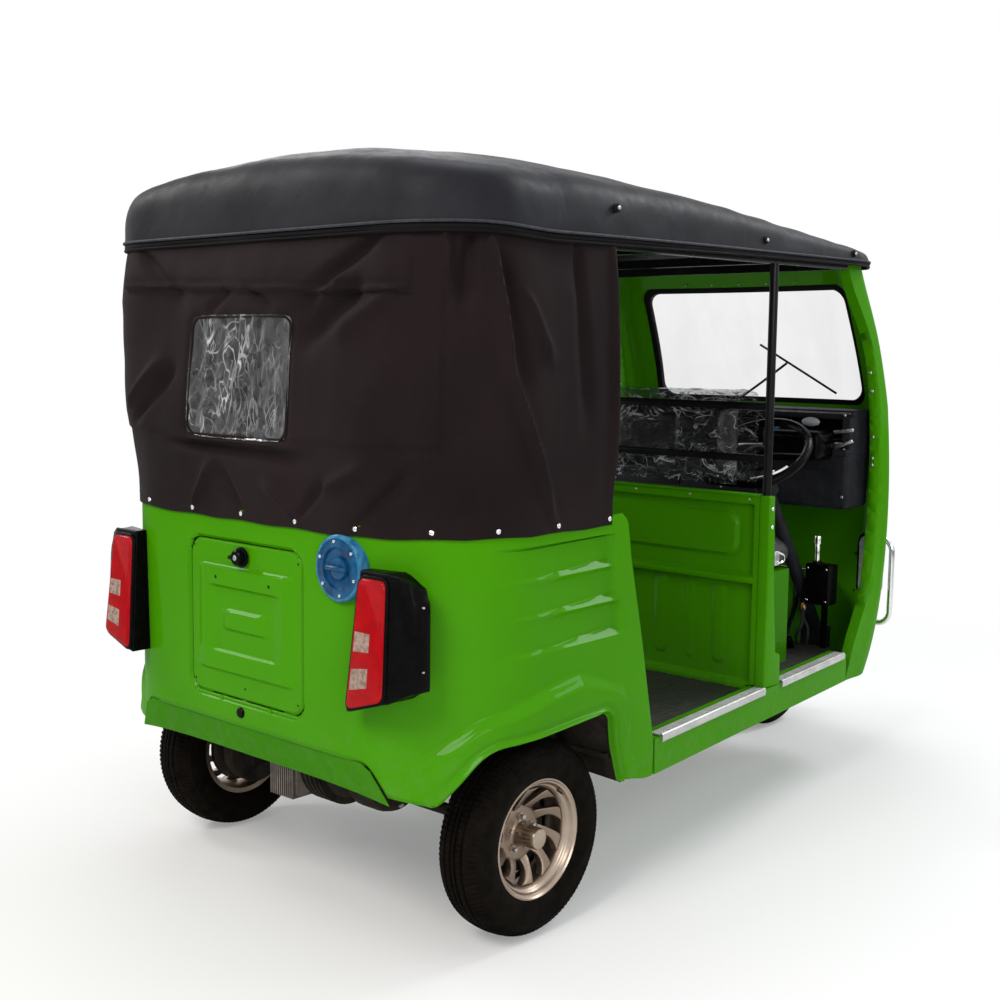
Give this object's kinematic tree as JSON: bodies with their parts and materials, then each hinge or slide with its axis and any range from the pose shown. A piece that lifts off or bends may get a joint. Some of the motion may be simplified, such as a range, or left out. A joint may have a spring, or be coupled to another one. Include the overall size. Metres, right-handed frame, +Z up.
{
  "type": "auto rickshaw",
  "caption": "Three-wheeled passenger taxi with a steered front wheel, hollow cab and tub, roof cap, tail curtain with a clear window, bench seats and a hinged rear lid.",
  "frame": {"origin": "on the ground, at the middle of the overall length and width", "axes": "+Z up, the nose faces -Y, the tail +Y, and +X is the vehicle's left side"},
  "size_m": [1.32, 2.7, 1.8797],
  "materials": {
    "green_paint": "glossy enamel",
    "dark_green_paint": "glossy enamel in shade",
    "black_paint": "semi-gloss powder coat",
    "black_plastic": "fine grain",
    "roof_vinyl": "coated cloth, soft sheen",
    "curtain_canvas": "coated canvas",
    "clear_film": "creased clear film",
    "windscreen_glass": "clear",
    "tyre_rubber": "matt",
    "cast_alloy": "machined face",
    "red_lens": "moulded lens",
    "bare_steel": "plain",
    "seal_rubber": "matt",
    "seat_vinyl": "under clear wrap",
    "blue_film": "protective film over a dished cover",
    "chrome_tube": "polished",
    "grey_lens": "moulded lens",
    "cast_engine": "cast"
  },
  "bodies": {
    "vehicle_body": {"rear_body": "green_paint", "rear_apron": "dark_green_paint", "fuel_filler": "blue_film", "lid_hinge": "bare_steel", "tail_lamp_housings": "black_plastic", "tail_lamp_lenses": "red_lens", "floor_pan": "dark_green_paint", "seat_box": "green_paint", "wheel_houses": "black_paint", "chassis_frame": "black_paint", "sills": "green_paint", "partition": "green_paint", "b_pillars": "green_paint", "partition_posts": "black_paint", "roof_cover": "roof_vinyl", "roof_frame": "black_paint", "rear_curtain": "curtain_canvas", "rear_window": "clear_film", "cab_shell": "green_paint", "windscreen_gasket": "seal_rubber", "windscreen": "windscreen_glass", "front_wheel_house": "green_paint", "engine_block": "cast_engine", "rear_axle_shafts": "bare_steel", "trailing_arms": "black_paint", "shock_absorbers": "black_paint", "dashboard": "black_plastic", "steering_column": "black_plastic", "pedal_box": "black_paint", "headlamps": "grey_lens", "headlamp_guards": "chrome_tube", "driver_seat_base": "green_paint", "driver_seat_cushion": "seat_vinyl", "driver_seat_back": "seat_vinyl", "passenger_seat_cushion": "seat_vinyl", "passenger_seat_back": "seat_vinyl"},
    "front_fork": {"front_fork": "black_paint", "front_mudguard": "green_paint"},
    "front_wheel": {"front_tyre": "tyre_rubber", "front_rim": "cast_alloy"},
    "rear_left_wheel": {"rear_tyre_left": "tyre_rubber", "rear_rim_left": "cast_alloy"},
    "rear_right_wheel": {"rear_tyre_right": "tyre_rubber", "rear_rim_right": "cast_alloy"},
    "steering_wheel": {"steering_wheel": "black_plastic"},
    "rear_lid": {"rear_lid": "green_paint"}
  },
  "joints": [
    {"name": "rear_left_wheel_spin", "type": "hinge", "parent": "vehicle_body", "child": "rear_left_wheel", "pos_m": [0.55, 0.925, 0.235], "axis": [1, 0, 0], "continuous": true},
    {"name": "rear_right_wheel_spin", "type": "hinge", "parent": "vehicle_body", "child": "rear_right_wheel", "pos_m": [-0.55, 0.925, 0.235], "axis": [1, 0, 0], "continuous": true},
    {"name": "fork_steer", "type": "hinge", "parent": "vehicle_body", "child": "front_fork", "pos_m": [0, -1.1, 0.235], "axis": [0, 0.342, 0.9397], "range_deg": [-40, 40]},
    {"name": "front_wheel_spin", "type": "hinge", "parent": "front_fork", "child": "front_wheel", "pos_m": [0, -1.075, 0.235], "axis": [1, 0, 0], "continuous": true},
    {"name": "steering_wheel_turn", "type": "hinge", "parent": "vehicle_body", "child": "steering_wheel", "pos_m": [-0.32, -0.44, 1.05], "axis": [0, 0.5736, 0.8192], "range_deg": [-320, 320]},
    {"name": "rear_lid_open", "type": "hinge", "parent": "vehicle_body", "child": "rear_lid", "pos_m": [0, 1.302, 0.517], "axis": [-1, 0, 0], "range_deg": [0, 80]}
  ],
  "couplings": [
    {"joint": "steering_wheel_turn", "follows": "fork_steer", "ratio": 8}
  ]
}
